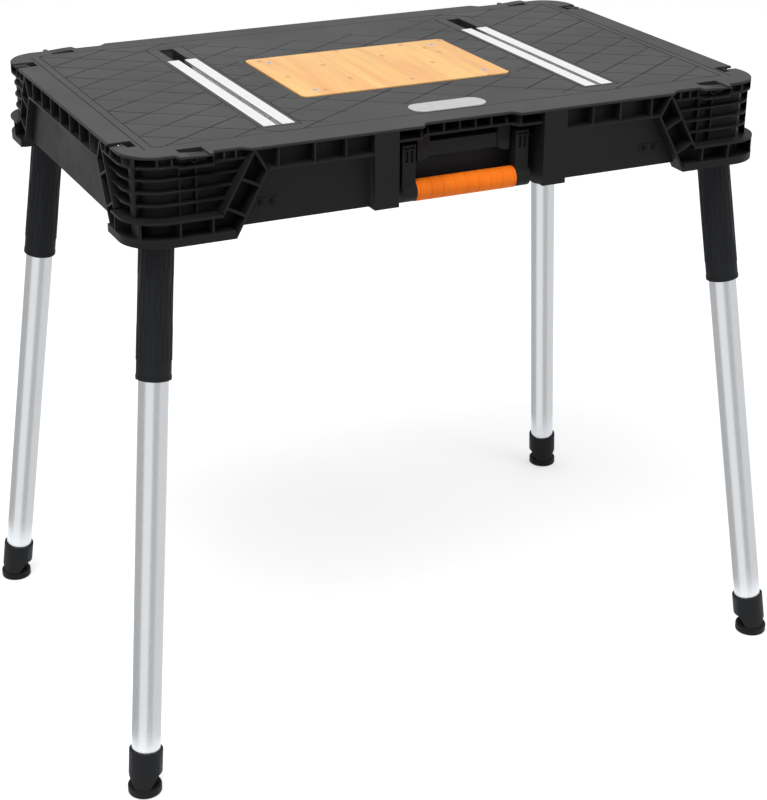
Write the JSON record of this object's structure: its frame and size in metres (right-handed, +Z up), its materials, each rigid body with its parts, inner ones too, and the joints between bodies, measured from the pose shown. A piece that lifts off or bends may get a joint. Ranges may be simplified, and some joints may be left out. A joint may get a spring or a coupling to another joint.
{
  "type": "folding workbench",
  "caption": "Folding workbench: ribbed plastic top with a wooden work board, slotted clamp rails, a carrying handle and splayed tubular legs that fold in under it.",
  "frame": {"origin": "on the floor under the middle of the table top", "axes": "+X along the long side, +Y from the handle side to the back, +Z up"},
  "size_m": [0.9574, 0.642, 0.801],
  "materials": {
    "deck_plastic": "fine grained charcoal moulding",
    "wall_plastic": "fine grained black moulding",
    "badge_plate": "satin light grey, bare",
    "board_wood": "oiled multiplex top",
    "rail_aluminium": "brushed extrusion",
    "tube_aluminium": "satin anodised",
    "handle_plastic": "fine grained black moulding",
    "grip_orange": "soft touch orange",
    "leg_plastic": "black glass-filled moulding",
    "foot_rubber": "matt rubber",
    "fastener_steel": "zinc plated",
    "dark_screw": "black oxide",
    "bracket_metal": "black powder coat",
    "lock_knob": "black knurled knob on a steel pin"
  },
  "bodies": {
    "table_top": {"deck": "deck_plastic", "front_wall": "wall_plastic", "rear_wall": "wall_plastic", "left_end_wall": "wall_plastic", "right_end_wall": "wall_plastic", "clamp_rail_left": "rail_aluminium", "clamp_rail_right": "rail_aluminium", "rail_screws": "fastener_steel", "wood_board": "board_wood", "board_screws": "fastener_steel", "badge_plate": "badge_plate", "wall_screws": "dark_screw", "handle_pivot_pins": "fastener_steel", "hinge_pins": "fastener_steel", "bracket_screws": "fastener_steel", "corner_block_front_left": "wall_plastic", "hinge_bracket_front_left": "bracket_metal", "lock_spring_front_left": "fastener_steel", "corner_block_rear_left": "wall_plastic", "hinge_bracket_rear_left": "bracket_metal", "lock_spring_rear_left": "fastener_steel", "corner_block_front_right": "wall_plastic", "hinge_bracket_front_right": "bracket_metal", "lock_spring_front_right": "fastener_steel", "corner_block_rear_right": "wall_plastic", "hinge_bracket_rear_right": "bracket_metal", "lock_spring_rear_right": "fastener_steel"},
    "handle": {"handle_bail": "handle_plastic", "handle_grip": "grip_orange"},
    "leg_front_left": {"leg_head_front_left": "leg_plastic", "leg_sleeve_front_left": "leg_plastic", "leg_tube_front_left": "tube_aluminium", "foot_cap_front_left": "leg_plastic"},
    "foot_front_left": {"foot_pad_front_left": "foot_rubber"},
    "lock_front_left": {"lock_plunger_front_left": "lock_knob"},
    "leg_rear_left": {"leg_head_rear_left": "leg_plastic", "leg_sleeve_rear_left": "leg_plastic", "leg_tube_rear_left": "tube_aluminium", "foot_cap_rear_left": "leg_plastic"},
    "foot_rear_left": {"foot_pad_rear_left": "foot_rubber"},
    "lock_rear_left": {"lock_plunger_rear_left": "lock_knob"},
    "leg_front_right": {"leg_head_front_right": "leg_plastic", "leg_sleeve_front_right": "leg_plastic", "leg_tube_front_right": "tube_aluminium", "foot_cap_front_right": "leg_plastic"},
    "foot_front_right": {"foot_pad_front_right": "foot_rubber"},
    "lock_front_right": {"lock_plunger_front_right": "lock_knob"},
    "leg_rear_right": {"leg_head_rear_right": "leg_plastic", "leg_sleeve_rear_right": "leg_plastic", "leg_tube_rear_right": "tube_aluminium", "foot_cap_rear_right": "leg_plastic"},
    "foot_rear_right": {"foot_pad_rear_right": "foot_rubber"},
    "lock_rear_right": {"lock_plunger_rear_right": "lock_knob"}
  },
  "joints": [
    {"name": "handle_swing", "type": "hinge", "parent": "table_top", "child": "handle", "pos_m": [0, -0.241, 0.763], "axis": [-1, 0, 0], "range_deg": [0, 90]},
    {"name": "leg_fold_front_left", "type": "hinge", "parent": "table_top", "child": "leg_front_left", "pos_m": [-0.37914, -0.21785, 0.718], "axis": [0.078, -0.9915, 0.1045], "range_deg": [0, 96.67]},
    {"name": "foot_level_front_left", "type": "slide", "parent": "leg_front_left", "child": "foot_front_left", "axis": [-0.1077, -0.1126, -0.9878], "range_m": [0, 0.01]},
    {"name": "lock_pull_front_left", "type": "slide", "parent": "table_top", "child": "lock_front_left", "axis": [-0.078, 0.9915, -0.1045], "range_m": [0, 0.0035], "stiffness_N_per_m": 400, "deforming": ["lock_spring_front_left"]},
    {"name": "leg_fold_rear_left", "type": "hinge", "parent": "table_top", "child": "leg_rear_left", "pos_m": [-0.37914, 0.21785, 0.718], "axis": [-0.078, -0.9915, -0.1045], "range_deg": [0, 96.67]},
    {"name": "foot_level_rear_left", "type": "slide", "parent": "leg_rear_left", "child": "foot_rear_left", "axis": [-0.1077, 0.1126, -0.9878], "range_m": [0, 0.01]},
    {"name": "lock_pull_rear_left", "type": "slide", "parent": "table_top", "child": "lock_rear_left", "axis": [-0.078, -0.9915, -0.1045], "range_m": [0, 0.0035], "stiffness_N_per_m": 400, "deforming": ["lock_spring_rear_left"]},
    {"name": "leg_fold_front_right", "type": "hinge", "parent": "table_top", "child": "leg_front_right", "pos_m": [0.37489, -0.2134, 0.757], "axis": [0.078, 0.9915, -0.1045], "range_deg": [0, 96.67]},
    {"name": "foot_level_front_right", "type": "slide", "parent": "leg_front_right", "child": "foot_front_right", "axis": [0.1077, -0.1126, -0.9878], "range_m": [0, 0.01]},
    {"name": "lock_pull_front_right", "type": "slide", "parent": "table_top", "child": "lock_front_right", "axis": [0.078, 0.9915, -0.1045], "range_m": [0, 0.0035], "stiffness_N_per_m": 400, "deforming": ["lock_spring_front_right"]},
    {"name": "leg_fold_rear_right", "type": "hinge", "parent": "table_top", "child": "leg_rear_right", "pos_m": [0.37489, 0.2134, 0.757], "axis": [-0.078, 0.9915, 0.1045], "range_deg": [0, 96.67]},
    {"name": "foot_level_rear_right", "type": "slide", "parent": "leg_rear_right", "child": "foot_rear_right", "axis": [0.1077, 0.1126, -0.9878], "range_m": [0, 0.01]},
    {"name": "lock_pull_rear_right", "type": "slide", "parent": "table_top", "child": "lock_rear_right", "axis": [0.078, -0.9915, -0.1045], "range_m": [0, 0.0035], "stiffness_N_per_m": 400, "deforming": ["lock_spring_rear_right"]}
  ]
}
